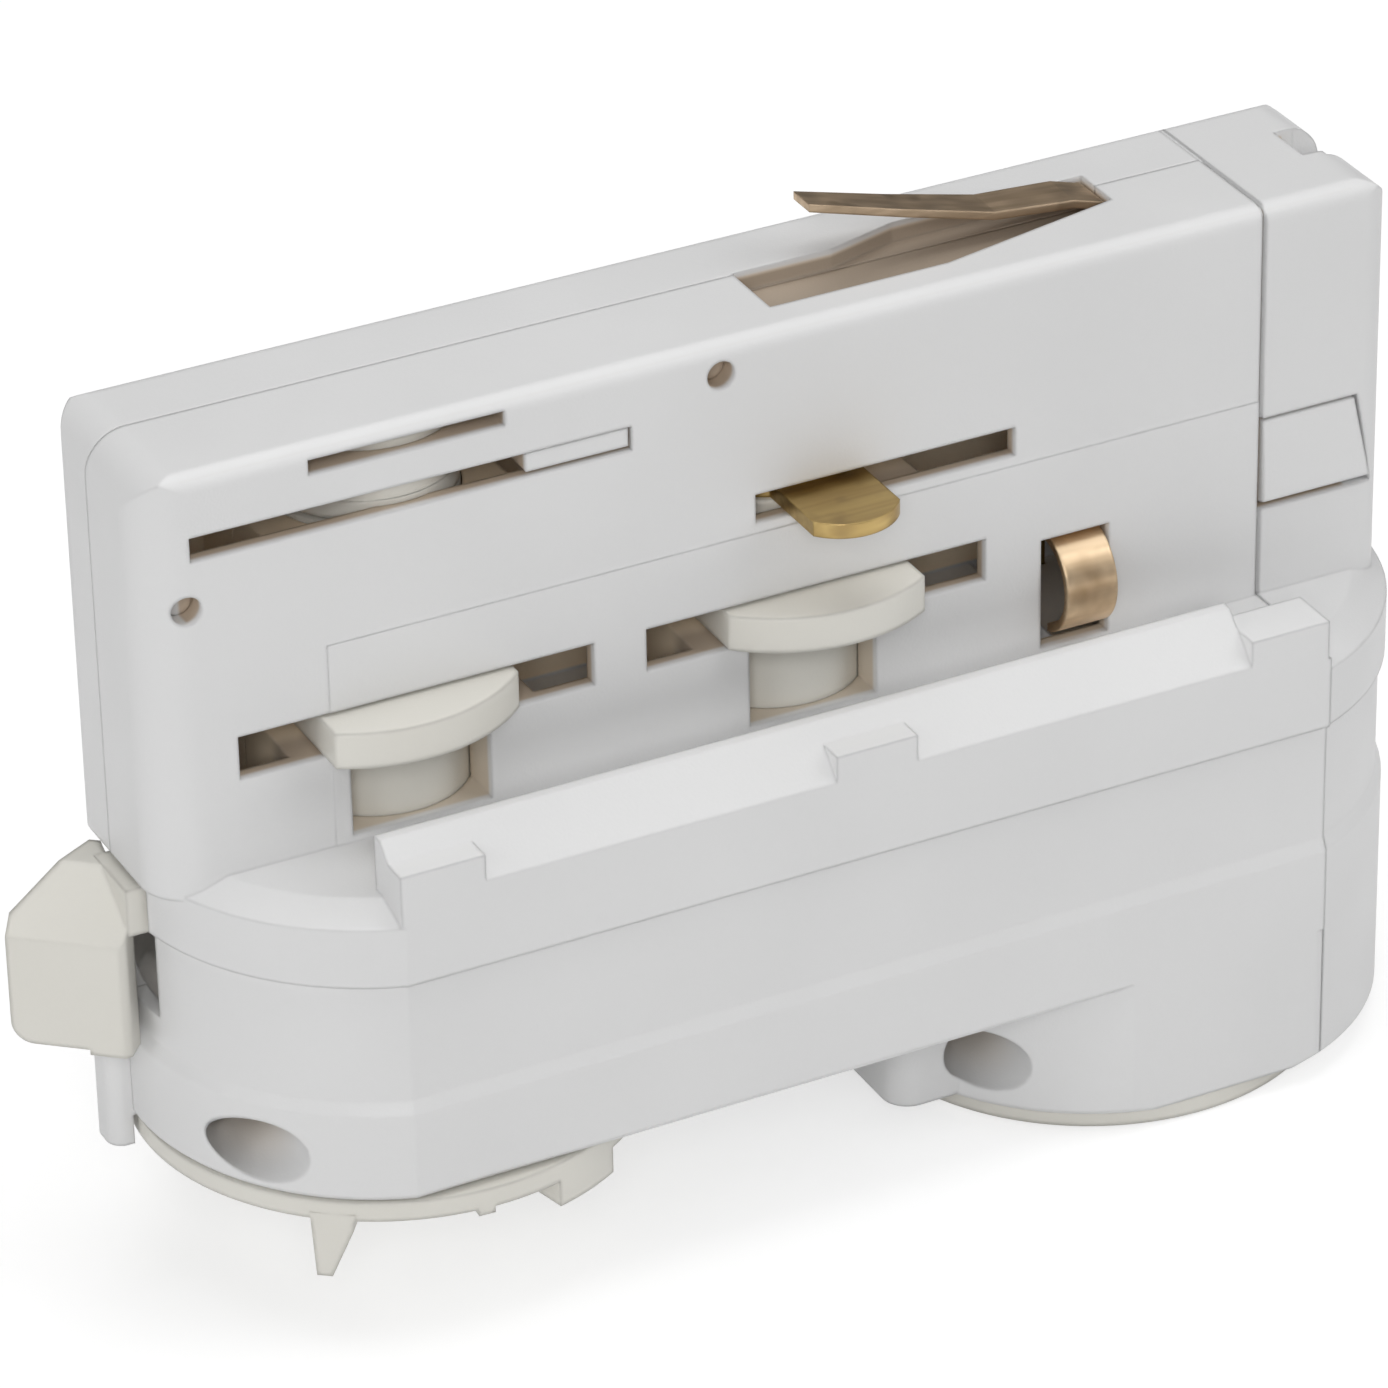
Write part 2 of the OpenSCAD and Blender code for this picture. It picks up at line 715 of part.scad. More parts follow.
module right_cam() {
    color(ivory) translate([right_axis_x, 0, 0]) {
        translate([0, 0, barrel_bottom_z]) cylinder(r = barrel_r, h = neutral_z - barrel_bottom_z);
        translate([0, 0, neutral_z - 1]) cylinder(r = spigot_r, h = cap_top_z - neutral_z);
        wing(wing_lead);
        gear_sector(180 - sweep - sector_lead, 180 + sector_lead, 180 / gear_teeth);
    }
}

// A flat contact: a ring round the shaft and a tongue with a rounded tip
module contact_plate(hole_r, ring_r, reach, shift) {
    tip_r = contact_w * 0.62;
    linear_extrude(contact_t) difference() {
        union() {
            circle(ring_r);
            intersection() {
                translate([shift - contact_w / 2, -far]) square([contact_w, far]);
                translate([shift, tip_r - reach]) circle(tip_r);
            }
            translate([shift - contact_w / 2, tip_r - reach]) square([contact_w, reach - tip_r]);
        }
        circle(hole_r);
    }
}

module neutral_contact() {
    color(brass) translate([right_axis_x, 0, neutral_z])
        contact_plate(spigot_r, barrel_r - 0.4, neutral_reach, neutral_shift);
}

module contact_cap() {
    color(ivory) translate([right_axis_x, 0, neutral_z + contact_t]) difference() {
        cylinder(r = barrel_r, h = cap_top_z - neutral_z - contact_t);
        translate([0, 0, -1]) cylinder(r = spigot_r, h = cap_top_z - neutral_z - contact_t);
    }
}

module locking_lever() {
    color(ivory) translate([left_axis_x, 0, 0]) {
        difference() {
            union() {
                translate([0, 0, hub_bottom_z])
                    cylinder(r = hub_r - free_gap, h = lever_top_z - hub_bottom_z);
                block([-nose_r - 1, -arm_half_w, arm_bottom_z], [-barrel_r - 2, arm_half_w, lever_top_z]);
            }
            translate([0, 0, hub_bottom_z - 1]) linear_extrude(far) drive_section(0.03);
        }
        thumb_piece();
    }
}

// The slanted thumb piece outside the left end, cut back where it swings past the neck
module thumb_piece() {
    top_z = thumb_ridge_z + thumb_slope;
    corner_r = norm([neck_x0 - left_axis_x, half_t]);
    difference() {
        translate([-nose_r - thumb_out, thumb_y, 0]) rotate(-thumb_turn) intersection() {
            translate([0, 0, lever_bottom_z - thumb_lip]) linear_extrude(far)
                polygon([[0, 0], [thumb_l - 0.4, 0], [thumb_l, 0.4], [thumb_l, thumb_deep],
                    [thumb_slope, thumb_deep], [thumb_slope - 1.2, thumb_slope], [0, 1.2]]);
            along_x(0, thumb_l)
                polygon([[0, lever_bottom_z - thumb_lip], [0, thumb_ridge_z], [thumb_slope, top_z],
                    [thumb_deep, top_z], [thumb_deep, lever_bottom_z - thumb_lip]]);
            along_y(0, thumb_deep) union() {
                rounded(0, lever_bottom_z, thumb_l, 0, [1.6, 0, 0, 0]);
                translate([thumb_l - 2.9, lever_bottom_z - thumb_lip]) square([2.9, 1]);
            }
        }
        translate([0, 0, -crown_h - free_gap]) cylinder(r = corner_r + free_gap, h = far);
        translate([0, 0, -far]) cylinder(r = nose_r + free_gap, h = far);
    }
}

module selector_knob() {
    z0 = body_bottom_z - knob_gap - disc_t;
    groove_r = knob_hub_r - 0.8;
    color(ivory) translate([left_axis_x, 0, 0]) {
        difference() {
            union() {
                translate([0, 0, z0]) cylinder(r = disc_r, h = disc_t);
                translate([0, 0, z0]) cylinder(r = knob_hub_r, h = gear_z - 2.1 - z0);
                translate([0, 0, z0]) cylinder(r = step_r + 0.5, h = gear_z - run_gap - z0);
            }
            translate([0, 0, clip_z - 0.05]) rotate_extrude()
                translate([groove_r, 0]) square([2, clip_t + 0.1]);
            translate([0, 0, z0 - 1]) cylinder(r = knob_recess_r, h = 1.8);
            translate([0, 0, spindle_z]) cylinder(r = spindle_r, h = far);
        }
        rotate(233) pointer_fin(z0);
        rotate(284) stop_lug(z0);
        rotate(266) translate([disc_r - 1, -0.6, z0 - 0.5]) cube([1, 1.2, 1]);
    }
}

module pointer_fin(z0) {
    translate([disc_r - 2.4, 0, 0]) along_x(0, 2.4)
        polygon([[1.6, z0 + 0.5], [-1.6, z0 + 0.5], [-1.3, z0 - fin_h], [-0.2, z0 - fin_h], [1.4, z0 - 0.8]]);
}

module stop_lug(z0) {
    translate([0, 0, z0 - stop_h]) rotate_extrude(angle = 17) translate([disc_r - 2.6, 0])
        square([2.6, stop_h + 0.5]);
}

// The rod through the left cam, with a carrier that hides the phase contact's ring at the front
module selector_spindle() {
    z1 = left_barrel_top_z + free_gap;
    z2 = phase_z + contact_t;
    color(ivory) translate([left_axis_x, 0, 0]) {
        translate([0, 0, spindle_z]) cylinder(r = spindle_r, h = z1 - spindle_z + 1);
        translate([0, 0, z1]) cylinder(r = barrel_r, h = phase_z - z1);
        translate([0, 0, phase_z - 0.5]) cylinder(r = spigot_r, h = contact_t + 1);
        translate([0, 0, z2]) cylinder(r = barrel_r, h = carrier_top_z - z2);
        translate([0, 0, phase_z - 0.1]) rotate(215) rotate_extrude(angle = 135)
            translate([barrel_r - 0.6, 0]) square([0.5, contact_t + 0.2]);
    }
}

module phase_contact() {
    color(brass) translate([left_axis_x, 0, phase_z]) rotate(-90)
        contact_plate(spigot_r, barrel_r - 0.9, phase_reach, 0);
}

module selector_clip() {
    color(steel) translate([left_axis_x, 0, clip_z]) rotate(30) rotate_extrude(angle = 300)
        translate([knob_hub_r - 0.7, 0]) square([1.9, clip_t]);
}

// A leaf held in the floor that clicks against the selector hub
module detent_spring() {
    y0 = knob_hub_r + 0.05;
    x0 = left_axis_x - detent_half;
    x1 = left_axis_x + detent_half;
    color(steel) {
        block([x0, y0, floor_top_z + 1.8], [x1, y0 + 0.4, floor_top_z + 4.4]);
        block([x1, y0, floor_top_z], [x1 + 1.5, y0 + 2.4, floor_top_z + 4.4]);
    }
}

// Upper line of the top spring from its root to its tip, lowered by a given amount
function leaf_line(drop) = let (z = knuckle_z + knuckle_r - drop, mid_x = (top_tip_x + knuckle_x) / 2)
    [[knuckle_x, z], [knuckle_x - 2, z + 0.6], [mid_x + 3, z + 1.1], [mid_x - 4, z + 2.9],
        [top_tip_x, neck_h + top_rise - drop]];

// The tapered leaf that rises from its rolled root at the right of the pocket
module top_spring() {
    half = top_spring_w / 2;
    tip_half = top_tip_w / 2;
    under = leaf_line(top_spring_t);
    root_x = knuckle_x - 3;
    color(bronze) {
        rod_y(knuckle_x, knuckle_z, knuckle_r, top_spring_y - half, top_spring_y + half);
        intersection() {
            along_y(top_spring_y - half, top_spring_y + half)
                polygon(concat(leaf_line(0), [for (i = [len(under) - 1:-1:0]) under[i]]));
            translate([0, top_spring_y, neck_h - 3]) linear_extrude(far)
                polygon([[far, -half], [far, half], [root_x, half], [top_tip_x, tip_half],
                    [top_tip_x, -tip_half], [root_x, -half]]);
        }
    }
}

// The strip that bows out of the side window, its foot turned back in
module side_spring() {
    t = side_spring_t;
    root_y = -inner_y + 0.8;
    bow_r = half_t + bow_out + root_y;
    x0 = spring_window[0] + 1.2;
    color(brass) along_x(x0, x0 + side_spring_w) {
        difference() {
            translate([root_y, bow_z]) circle(bow_r);
            translate([root_y, bow_z]) circle(bow_r - t);
            translate([root_y + t / 2, -far]) square(2 * far);
            translate([root_y - 0.9, bow_z - far]) square(far);
        }
        translate([root_y, bow_z + bow_r - t]) square([t, spring_root_z - bow_z - bow_r + t]);
    }
}

module earth_lead() {
    y = -inner_y + 0.2;
    root_y = -inner_y + 0.8 + side_spring_t;
    z0 = spring_root_z - 1.5;
    color(brass) {
        block([lead_x, y, clamp_top_z], [lead_x + lead_w, y + lead_t, cavity_top_z - 0.1]);
        block([lead_x, y, z0], [lead_x + lead_t, root_y + lead_t, spring_root_z]);
        block([spring_window[0] + 1.2, root_y, z0], [lead_x + lead_t, root_y + lead_t, spring_root_z]);
    }
}

module neutral_lead() {
    y = inner_y - 0.1;
    x0 = right_axis_x + 4;
    x1 = block_x0 + 1;
    top_z = neutral_z + contact_t;
    color(brass) {
        block([x0, y - lead_t, neutral_z], [x1 + lead_t, y, top_z]);
        block([x0, y - 1.4, neutral_z], [x0 + 0.8, y, top_z]);
        block([x1, 0, neutral_z - 2], [x1 + lead_t, y, top_z]);
        block([x1, 0, clamp_top_z], [x1 + lead_t, lead_w, neutral_z]);
    }
}

module phase_lead() {
    y = inner_y - 0.1;
    x0 = left_axis_x + 5;
    top_z = phase_lead_z + phase_lead_h;
    color(brass) {
        block([x0, y - lead_t, phase_lead_z], [lead_x + lead_w, y, top_z]);
        block([x0, 4.5, phase_lead_z], [x0 + 0.8, y, phase_z + contact_t]);
        block([lead_x, y - lead_t, clamp_top_z], [lead_x + lead_w, y, top_z]);
    }
}

// A slot in the terminal block for a lead, from its two corners in plan
module lead_slot(x0, y0, x1, y1) {
    block([x0 - 0.1, y0 - 0.1, clamp_top_z], [x1 + 0.1, y1 + 0.1, 1]);
}

module terminal_block() {
    cell_w = clamp_w + 0.2;
    color(white) difference() {
        block([block_x0, -block_w / 2, block_z], [block_x0 + block_l, block_w / 2, -deck_t]);
        for (i = [-1:1])
            translate([block_x0 + block_l / 2, i * cell_pitch, block_z - 1]) {
                cylinder(r = 2.2, h = clamp_lift + 2);
                translate([-far, -cell_w / 2, clamp_lift + 0.9]) cube([2 * far, cell_w, clamp_h + 0.2]);
            }
        lead_slot(lead_x, -inner_y + 0.2, lead_x + lead_w, -inner_y + 0.2 + lead_t);
        lead_slot(lead_x, inner_y - 0.1 - lead_t, lead_x + lead_w, inner_y - 0.1);
        lead_slot(block_x0 + 1, 0, block_x0 + 1 + lead_t, lead_w);
    }
}

module terminal_clamps() {
    color(brass)
        for (i = [-1:1])
            translate([block_x0 + 0.6, i * cell_pitch, block_z + clamp_lift]) difference() {
                translate([0, -clamp_w / 2, 0]) cube([block_l - 1.2, clamp_w, clamp_h]);
                translate([-1, 0, clamp_h / 2]) rotate([0, 90, 0]) cylinder(r = 1.5, h = block_l + 2);
                translate([block_l / 2 - 0.6, 0, -1]) cylinder(r = term_screw_r + screw_play, h = 2);
            }
}

module terminal_screws() {
    color(steel)
        for (i = [-1:1])
            translate([block_x0 + block_l / 2, i * cell_pitch, block_z]) {
                difference() {
                    translate([0, 0, 0.4]) cylinder(r = 1.9, h = 1.8);
                    translate([-3, -0.3, 0]) cube([6, 0.6, 1]);
                }
                translate([0, 0, 2]) cylinder(r = term_screw_r, h = clamp_lift - 1.2);
            }
}

module mount_nut() {
    color(steel) translate([boss_x, 0, nut_z]) difference() {
        cylinder(r = nut_flats / sqrt(3), h = nut_h, $fn = 6);
        translate([0, 0, -1]) cylinder(r = nut_bore_r, h = nut_h + 2);
    }
}

module boss_plate() {
    color(ivory) translate([boss_x, 0, boss_bottom_z - disc_t]) difference() {
        cylinder(r = nose_r - plate_in, h = disc_t);
        translate([0, 0, -1]) cylinder(r = stem_r, h = disc_t + 2);
    }
}

module shell_screw(x, z) {
    difference() {
        rod_y(x, z, screw_head_r, screw_seat_y - screw_head_h, screw_seat_y);
        for (a = [0, 90])
            translate([x, screw_seat_y - screw_head_h, z]) rotate([0, a, 0])
                block([-0.4, -1, -1.5], [0.4, 0.9, 1.5]);
    }
    rod_y(x, z, screw_r, screw_seat_y - 0.5, screw_end_y);
}

module shell_screws() {
    color(steel) {
        shell_screw(screw_left_x, screw_left_z);
        shell_screw(screw_right_x, screw_right_z);
    }
}

front_shell();
rear_shell();
locking_lever();
left_cam();
right_cam();
neutral_contact();
contact_cap();
selector_knob();
selector_spindle();
phase_contact();
selector_clip();
detent_spring();
top_spring();
side_spring();
earth_lead();
neutral_lead();
phase_lead();
terminal_block();
terminal_clamps();
terminal_screws();
mount_nut();
boss_plate();
shell_screws();
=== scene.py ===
import bpy
from mathutils import Matrix, Vector


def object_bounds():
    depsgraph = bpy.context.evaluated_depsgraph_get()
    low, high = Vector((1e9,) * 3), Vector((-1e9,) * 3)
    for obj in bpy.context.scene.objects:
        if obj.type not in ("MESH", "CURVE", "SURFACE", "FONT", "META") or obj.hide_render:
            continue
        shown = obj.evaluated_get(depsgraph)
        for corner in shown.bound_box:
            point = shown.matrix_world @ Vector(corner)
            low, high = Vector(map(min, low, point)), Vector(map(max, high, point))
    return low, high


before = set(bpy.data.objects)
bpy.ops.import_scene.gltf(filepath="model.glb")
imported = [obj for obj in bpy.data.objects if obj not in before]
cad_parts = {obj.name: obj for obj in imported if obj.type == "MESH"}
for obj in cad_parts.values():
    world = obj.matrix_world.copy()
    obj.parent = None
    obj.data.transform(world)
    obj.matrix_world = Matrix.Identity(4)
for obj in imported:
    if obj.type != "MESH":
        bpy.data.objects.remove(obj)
cad_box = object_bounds()

# Which finish each CAD node shows.
FINISH = {
    "white": ["front_shell", "rear_shell", "terminal_block"],
    "ivory": ["locking_lever", "left_cam", "right_cam", "contact_cap", "selector_knob",
              "selector_spindle", "boss_plate"],
    "brass": ["neutral_contact", "phase_contact", "earth_lead", "neutral_lead", "phase_lead",
              "terminal_clamps"],
    "copper": ["side_spring"],
    "bronze": ["top_spring"],
    "steel": ["selector_clip", "detent_spring", "terminal_screws", "mount_nut", "shell_screws"],
}

# Camera fitted to the photo's edges: place in metres, then its right, up and back directions.
CAMERA_AT = Vector((-0.2028, -0.4009, 0.2584))
CAMERA_AXES = (
    (0.89091651, -0.45381447, -0.01789392),
    (0.24116084, 0.43931956, 0.86535529),
    (-0.38484960, -0.77527463, 0.50083933),
)
CAMERA_NEAR = 0.01
CAMERA_FAR = 20.0
PHOTO_FOCAL_PX = 7474.4
PHOTO_PX = 1388
SENSOR_MM = 36.0

# The housing's outer faces and centres in metres, which part its inner faces, where light and
# shade are painted, from its outer ones.
NECK_SIDE = 0.0075
NECK_END = 0.0442
NECK_TOP = 0.0303
SLOT_FOOT = 0.0062
POCKET_FLOOR = 0.0286
BODY_SIDE = 0.0178
NOSE_RADIUS = 0.0188
BODY_TOP = -0.0011
BODY_FOOT = -0.0224
BOSS_FOOT = -0.0328
LEFT_NOSE = -0.0280
RIGHT_NOSE = 0.0302
BOSS_AT = 0.0275

# Where one painted tone fades into the next, in metres: depths below a face, or places front to
# back.
SKIN_FADE = 0.0003
NECK_DEPTHS = (0.00025, 0.0007)
DEEP_DEPTHS = (0.0009, 0.00118)
DEEP_FROM = (-0.005, -0.003)
BODY_DEPTHS = (0.0007, 0.0060)

# Painted shade on the housing's inner faces: in the slots' lips, the windows under the wings, the
# top spring's pocket and the screw wells in the body. The deep tone is painted light, lighter and
# warmer than the skin, standing in for light that glows through the thin walls.
PAINTED_LIGHT_AND_SHADE = {
    "lip": (0.56, 0.46, 0.36),
    "window": (0.66, 0.58, 0.48),
    "deep": (0.98, 0.82, 0.62),
    "pocket": (0.4, 0.33, 0.26),
    "body": (0.72, 0.65, 0.57),
}

# Noise scales in cycles a metre: moulded plastic's clouds, sheen and grain, then the metals'.
CLOUD_SCALE = 55.0
SHEEN_SCALE = 240.0
GRAIN_SCALE = 5200.0
LINE_SCALE = 1500.0
TARNISH_SCALE = 300.0
RUB_SCALE = 500.0
CLOUD_DETAIL = 1.0
LINE_DETAIL = 1.0
TARNISH_DETAIL = 2.0

# Noise values between which a colour ramp runs.
TONE_STOPS = (0.3, 0.7)
TARNISH_STOPS = (0.52, 0.72)

# How far roughness swings about its middle, and each bump's strength and height in metres.
SHEEN_SWING = (-0.06, 0.06)
RUB_SWING = (-0.08, 0.1)
GRAIN_BUMP = (0.12, 0.00008)
LINE_BUMP = (0.15, 0.00006)
EDGE_SAMPLES = 5

# How the drawn lines of a metal are stretched along each axis.
ALONG_X = (0.08, 1.0, 1.0)
EVEN = (1.0, 1.0, 1.0)

FLOOR_SIZE = 4.0
FLOOR_DROP = 0.0002
FLOOR_SEEN = (0.5, 0.5, 0.5, 1.0)
FLOOR_GLOW = 0.62
FLOOR_BOUNCE = (0.8, 0.8, 0.8, 1.0)

# Soft square lamps: place in metres, side in metres, watts.
LAMPS = {
    "key": (CAMERA_AT * 2, 0.35, 3.6),
    "left_fill": (Vector((-0.8, -0.2, 0.36)), 0.6, 1.8),
    "top_right": (Vector((0.6, -0.34, 0.5)), 0.6, 2.3),
    "overhead": (Vector((0.0, 0.1, 0.9)), 0.8, 4.9),
}
SKY_COLOUR = (1.0, 1.0, 1.0, 1.0)
SKY_STRENGTH = 0.06


class Graph:
    """A material's node tree with short calls for adding and joining nodes."""

    def __init__(self, name):
        self.material = bpy.data.materials.new(name)
        self.material.use_nodes = True
        self.tree = self.material.node_tree
        self.tree.nodes.clear()
        self.out = self.add("ShaderNodeOutputMaterial")
        self.coords = self.add("ShaderNodeTexCoord")

    def add(self, kind, **inputs):
        node = self.tree.nodes.new(kind)
        for key, value in inputs.items():
            node.inputs[key.replace("_", " ")].default_value = value
        return node

    def join(self, source, target):
        self.tree.links.new(source, target)

    def noise(self, scale, detail=0.0, stretch=None):
        node = self.add("ShaderNodeTexNoise", Scale=scale, Detail=detail)
        place = self.coords.outputs["Object"]
        if stretch:
            mapping = self.add("ShaderNodeMapping", Scale=stretch)
            self.join(place, mapping.inputs["Vector"])
            place = mapping.outputs["Vector"]
        self.join(place, node.inputs["Vector"])
        return node.outputs["Fac"]

    def ramp(self, source, places, colours):
        """Two colours, and the source's values where each begins."""
        node = self.add("ShaderNodeValToRGB")
        for point, place, colour in zip(node.color_ramp.elements, places, colours):
            point.position = place
            point.color = (*colour, 1.0)
        self.join(source, node.inputs["Fac"])
        return node.outputs["Color"]

    def span(self, source, middle, swing):
        """The source's 0 to 1 laid out as a swing about a middle value."""
        node = self.add("ShaderNodeMapRange", To_Min=middle + swing[0], To_Max=middle + swing[1])
        self.join(source, node.inputs["Value"])
        return node.outputs["Result"]

    def step(self, source, zero_at, one_at):
        """A soft step from 0 to 1 between two values of the source."""
        node = self.add("ShaderNodeMapRange", From_Min=zero_at, From_Max=one_at)
        node.interpolation_type = "SMOOTHSTEP"
        self.join(source, node.inputs["Value"])
        return node.outputs["Result"]

    def mix(self, factor, a, b):
        """Colour a where the factor is 0 and b where it is 1; each is a tone or a socket."""
        node = self.add("ShaderNodeMix")
        node.data_type = "RGBA"
        self.join(factor, node.inputs["Factor"])
        for socket, value in (("A", a), ("B", b)):
            target = next(i for i in node.inputs if i.name == socket and i.type == "RGBA")
            if isinstance(value, tuple):
                target.default_value = (*value, 1.0)
            else:
                self.join(value, target)
        return next(o for o in node.outputs if o.type == "RGBA")

    def math(self, operation, *values):
        node = self.add("ShaderNodeMath")
        node.operation = operation
        for target, value in zip(node.inputs, values):
            if isinstance(value, (int, float)):
                target.default_value = value
            else:
                self.join(value, target)
        return node.outputs["Value"]

    def product(self, *values):
        result = values[0]
        for value in values[1:]:
            result = self.math("MULTIPLY", result, value)
        return result

    def relief(self, height, bump_shape, edge):
        """A bumped normal whose sharp edges are rounded by a radius in metres."""
        strength, distance = bump_shape
        bevel = self.add("ShaderNodeBevel", Radius=edge)
        bevel.samples = EDGE_SAMPLES
        bump = self.add("ShaderNodeBump", Strength=strength, Distance=distance)
        self.join(height, bump.inputs["Height"])
        self.join(bevel.outputs["Normal"], bump.inputs["Normal"])
        return bump.outputs["Normal"]

    def surface(self, colour, rough, normal, **fixed):
        shader = self.add("ShaderNodeBsdfPrincipled", **fixed)
        self.join(colour, shader.inputs["Base Color"])
        self.join(rough, shader.inputs["Roughness"])
        self.join(normal, shader.inputs["Normal"])
        self.join(shader.outputs["BSDF"], self.out.inputs["Surface"])
        return self.material


def paint_light_and_shade(g, skin):
    """The skin's tone, with painted shade on the faces that lie deeper than the housing's skin and
    painted light on the deepest faces behind the front wall.
    """
    axes = g.add("ShaderNodeSeparateXYZ")
    g.join(g.coords.outputs["Object"], axes.inputs["Vector"])
    x, y, z = (axes.outputs[name] for name in "XYZ")
    along = g.math("ABSOLUTE", x)
    across = g.math("ABSOLUTE", y)

    def depth(distance):
        """How far a point lies inside a round end and the flat sides."""
        radius = g.math("SQRT", g.math("ADD", g.product(distance, distance), g.product(y, y)))
        return g.math("MINIMUM", g.math("SUBTRACT", NOSE_RADIUS, radius),
                      g.math("SUBTRACT", BODY_SIDE, across))

    # The neck, where slots, windows and the top spring's pocket open, with painted shade in them.
    sunk = g.math("SUBTRACT", NECK_SIDE, across)
    neck = g.product(g.step(sunk, *NECK_DEPTHS),
                     g.step(along, NECK_END, NECK_END - SKIN_FADE),
                     g.step(g.math("SUBTRACT", NECK_TOP, z), *NECK_DEPTHS),
                     g.step(z, 0.0, SKIN_FADE))
    # Painted shade in the slots above the slot foot and in the windows below it.
    edges = g.mix(g.step(z, SLOT_FOOT, SLOT_FOOT - SKIN_FADE),
                  PAINTED_LIGHT_AND_SHADE["lip"], PAINTED_LIGHT_AND_SHADE["window"])
    # Painted light deep behind the front wall, standing in for light glowing through the thin
    # plastic.
    deep = g.product(g.step(sunk, *DEEP_DEPTHS), g.step(y, *DEEP_FROM))
    # Painted shade in the top spring's pocket.
    pocket = g.product(neck, g.step(z, POCKET_FLOOR - SKIN_FADE, POCKET_FLOOR))
    tone = g.mix(neck, skin, g.mix(deep, edges, PAINTED_LIGHT_AND_SHADE["deep"]))
    tone = g.mix(pocket, tone, PAINTED_LIGHT_AND_SHADE["pocket"])

    # The lower body and the boss, where the screw wells open, with painted shade in them.
    past_ends = g.math("MAXIMUM", g.math("SUBTRACT", LEFT_NOSE, x),
                       g.math("SUBTRACT", x, RIGHT_NOSE))
    body = g.product(g.step(depth(g.math("MAXIMUM", past_ends, 0.0)), *BODY_DEPTHS),
                     g.step(z, BODY_TOP, BODY_TOP - SKIN_FADE),
                     g.step(z, BODY_FOOT, BODY_FOOT + SKIN_FADE))
    boss = g.product(g.step(depth(g.math("SUBTRACT", x, BOSS_AT)), *BODY_DEPTHS),
                     g.step(z, BODY_FOOT + SKIN_FADE, BODY_FOOT),
                     g.step(z, BOSS_FOOT, BOSS_FOOT + SKIN_FADE))
    return g.mix(g.math("MAXIMUM", body, boss), tone, PAINTED_LIGHT_AND_SHADE["body"])


def plastic(name, light, dark, rough, edge, painted_inside=False):
    """Moulded plastic: cloudy tone, fine spark-eroded grain and, when asked, painted shade and
    painted light on the inner faces.
    """
    g = Graph(name)
    tone = g.ramp(g.noise(CLOUD_SCALE, CLOUD_DETAIL), TONE_STOPS, (dark, light))
    # Painted shade and painted light on the housing's inner faces.
    if painted_inside:
        tone = paint_light_and_shade(g, tone)
    return g.surface(tone, g.span(g.noise(SHEEN_SCALE), rough, SHEEN_SWING),
                     g.relief(g.noise(GRAIN_SCALE), GRAIN_BUMP, edge))


def metal(name, light, dark, tarnish, rough, edge, stretch=ALONG_X):
    """Rolled strip or turned metal: fine drawn lines, cloudy tarnish and soft stamped edges."""
    g = Graph(name)
    lines = g.noise(LINE_SCALE, LINE_DETAIL, stretch)
    clouds = g.ramp(g.noise(TARNISH_SCALE, TARNISH_DETAIL), TARNISH_STOPS,
                    ((0.0, 0.0, 0.0), (1.0, 1.0, 1.0)))
    tone = g.mix(clouds, g.ramp(lines, TONE_STOPS, (dark, light)), tarnish)
    return g.surface(tone, g.span(g.noise(RUB_SCALE), rough, RUB_SWING),
                     g.relief(lines, LINE_BUMP, edge), Metallic=1.0)


MATERIALS = {
    "white": plastic("white_plastic", light=(0.75, 0.75, 0.75), dark=(0.72, 0.72, 0.72),
                     rough=0.42, edge=0.0004, painted_inside=True),
    "ivory": plastic("ivory_plastic", light=(0.75, 0.735, 0.68), dark=(0.71, 0.69, 0.63),
                     rough=0.38, edge=0.0006),
    "brass": metal("brass", light=(0.54, 0.39, 0.16), dark=(0.43, 0.3, 0.12),
                   tarnish=(0.33, 0.23, 0.1), rough=0.34, edge=0.0002),
    "copper": metal("copper", light=(0.92, 0.71, 0.48), dark=(0.78, 0.58, 0.37),
                    tarnish=(0.6, 0.42, 0.25), rough=0.36, edge=0.0003),
    "bronze": metal("bronze", light=(0.66, 0.51, 0.36), dark=(0.5, 0.38, 0.26),
                    tarnish=(0.36, 0.27, 0.18), rough=0.48, edge=0.0002),
    "steel": metal("steel", light=(0.62, 0.63, 0.65), dark=(0.5, 0.51, 0.53),
                   tarnish=(0.42, 0.42, 0.43), rough=0.32, edge=0.0001, stretch=EVEN),
}
for finish, names in FINISH.items():
    for name in names:
        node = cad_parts[name]
        node.data.materials.clear()
        node.data.materials.append(MATERIALS[finish])


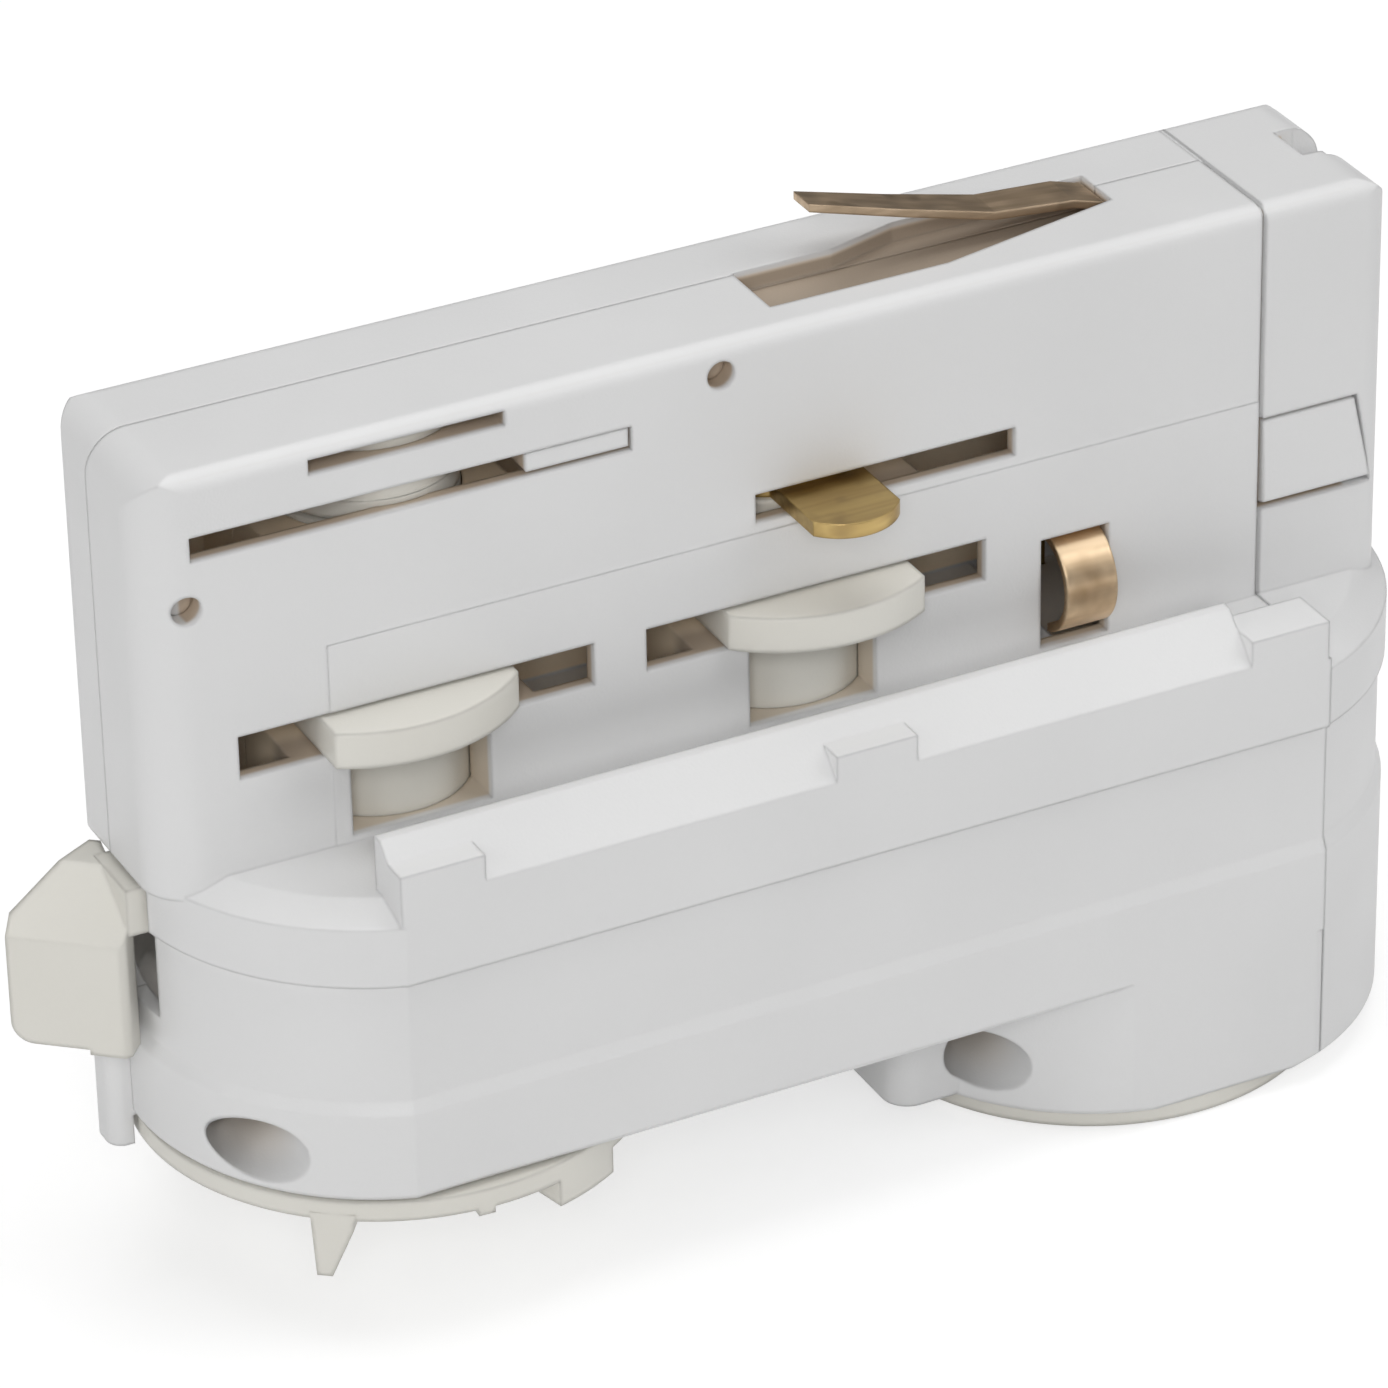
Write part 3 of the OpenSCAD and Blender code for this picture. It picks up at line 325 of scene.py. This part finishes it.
def floor():
    """A pale floor that shows white to the camera and still takes the object's shadow."""
    low = min(corner[2] for corner in cad_box) - FLOOR_DROP
    half = FLOOR_SIZE / 2
    mesh = bpy.data.meshes.new("floor")
    mesh.from_pydata([(-half, -half, low), (half, -half, low), (half, half, low),
                      (-half, half, low)], [], [(0, 1, 2, 3)])
    plane = bpy.data.objects.new("floor", mesh)
    bpy.context.collection.objects.link(plane)
    g = Graph("floor")
    paint = g.add("ShaderNodeBsdfDiffuse", Color=FLOOR_SEEN)
    glow = g.add("ShaderNodeEmission", Strength=FLOOR_GLOW)
    white = g.add("ShaderNodeAddShader")
    g.join(paint.outputs["BSDF"], white.inputs[0])
    g.join(glow.outputs["Emission"], white.inputs[1])
    rays = g.add("ShaderNodeLightPath").outputs
    seen = g.math("MAXIMUM", rays["Is Camera Ray"], rays["Is Glossy Ray"])
    seen = g.math("MAXIMUM", seen, rays["Is Transmission Ray"])
    plain = g.add("ShaderNodeBsdfDiffuse", Color=FLOOR_BOUNCE)
    shown = g.add("ShaderNodeMixShader")
    g.join(seen, shown.inputs["Fac"])
    g.join(plain.outputs["BSDF"], shown.inputs[1])
    g.join(white.outputs["Shader"], shown.inputs[2])
    g.join(shown.outputs["Shader"], g.out.inputs["Surface"])
    mesh.materials.append(g.material)


def lamp(name, at, size, power):
    """A soft square lamp that faces the object."""
    data = bpy.data.lights.new(name, "AREA")
    data.size = size
    data.energy = power
    lamp_object = bpy.data.objects.new(name, data)
    lamp_object.location = at
    lamp_object.rotation_euler = (-at).to_track_quat("-Z", "Y").to_euler()
    bpy.context.collection.objects.link(lamp_object)


def sky():
    """Weak, even light from all round."""
    world = bpy.data.worlds.new("studio")
    world.use_nodes = True
    back = world.node_tree.nodes["Background"]
    back.inputs["Color"].default_value = SKY_COLOUR
    back.inputs["Strength"].default_value = SKY_STRENGTH
    bpy.context.scene.world = world


def camera():
    """The photo's own view."""
    data = bpy.data.cameras.new("photo_camera")
    data.sensor_fit = "AUTO"
    data.sensor_width = SENSOR_MM
    data.lens = PHOTO_FOCAL_PX / PHOTO_PX * SENSOR_MM
    data.clip_start = CAMERA_NEAR
    data.clip_end = CAMERA_FAR
    camera_object = bpy.data.objects.new("photo_camera", data)
    turn = Matrix(CAMERA_AXES).transposed().to_4x4()
    camera_object.matrix_world = Matrix.Translation(CAMERA_AT) @ turn
    bpy.context.collection.objects.link(camera_object)
    bpy.context.scene.camera = camera_object


floor()
camera()
for lamp_name, setting in LAMPS.items():
    lamp(lamp_name, *setting)
sky()
bpy.context.scene.view_settings.view_transform = "Standard"
